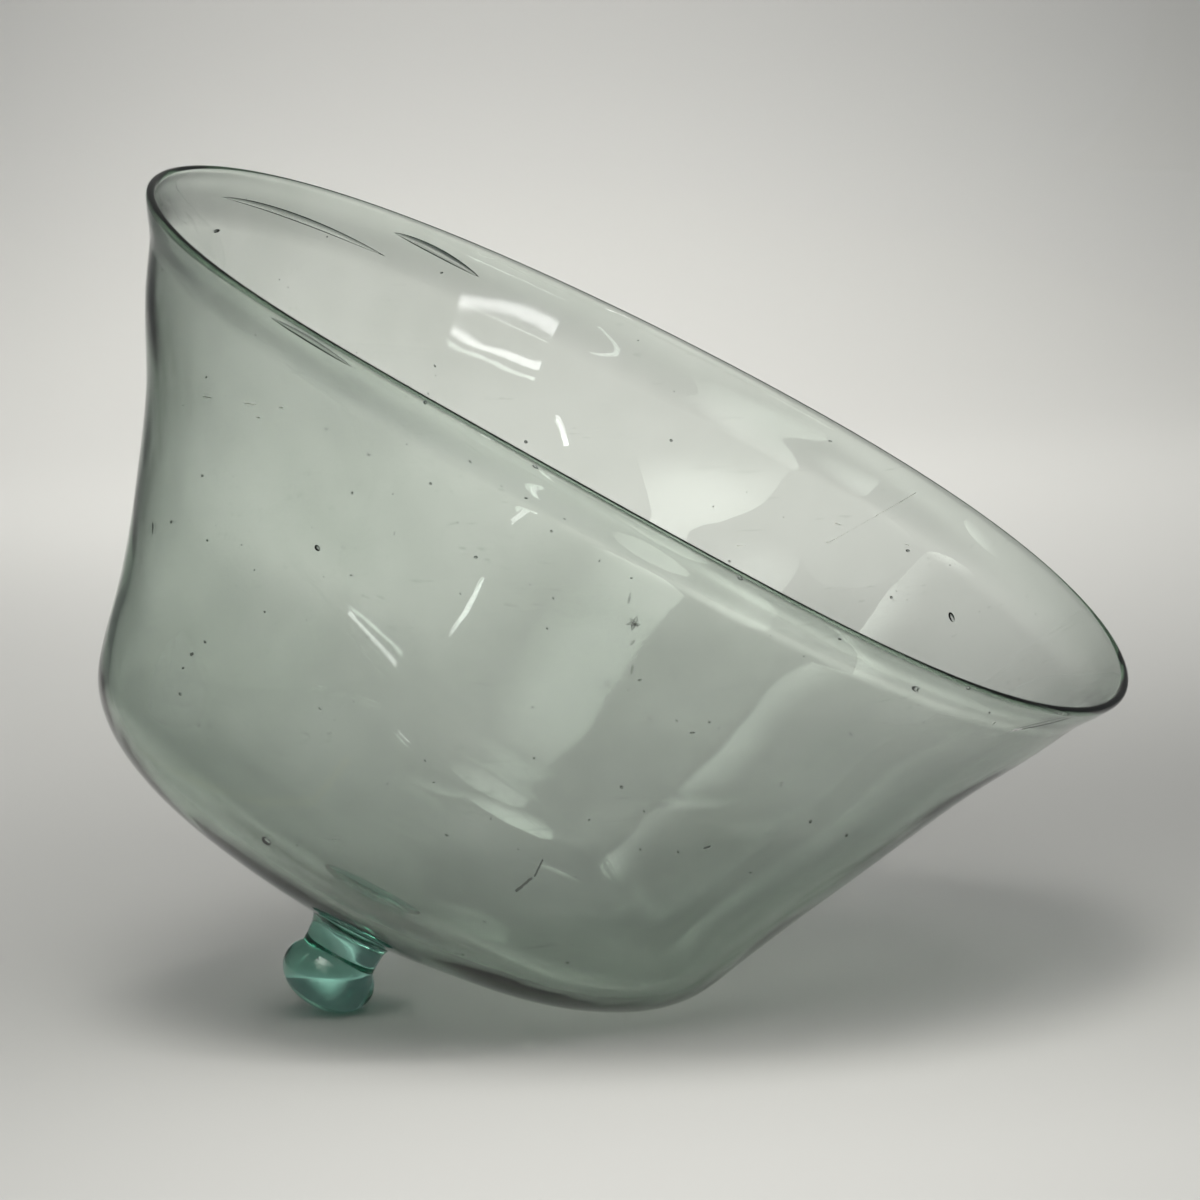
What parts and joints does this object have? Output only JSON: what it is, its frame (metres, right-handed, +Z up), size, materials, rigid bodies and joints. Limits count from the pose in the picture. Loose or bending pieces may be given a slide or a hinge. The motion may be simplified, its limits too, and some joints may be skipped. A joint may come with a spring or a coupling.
{
  "type": "glass bell cover",
  "caption": "Hand-blown pale green glass bell cover with a folded rim and an applied dark green knob, lying on its shoulder and knob with the mouth up.",
  "frame": {"origin": "the middle of the cover's footprint, on the surface that its knob and shoulder rest on", "axes": "+Z up; the bell's axis leans 30.2 degrees from +Z towards +X, with the mouth up and the knob at the low end; +Y across the bell"},
  "size_m": [0.2845, 0.2991, 0.2382],
  "materials": {
    "pale_glass": "gloss",
    "green_glass": "gloss"
  },
  "bodies": {
    "root": {"bell_wall": "pale_glass", "rim_fold": "pale_glass", "knob": "green_glass"}
  },
  "joints": []
}
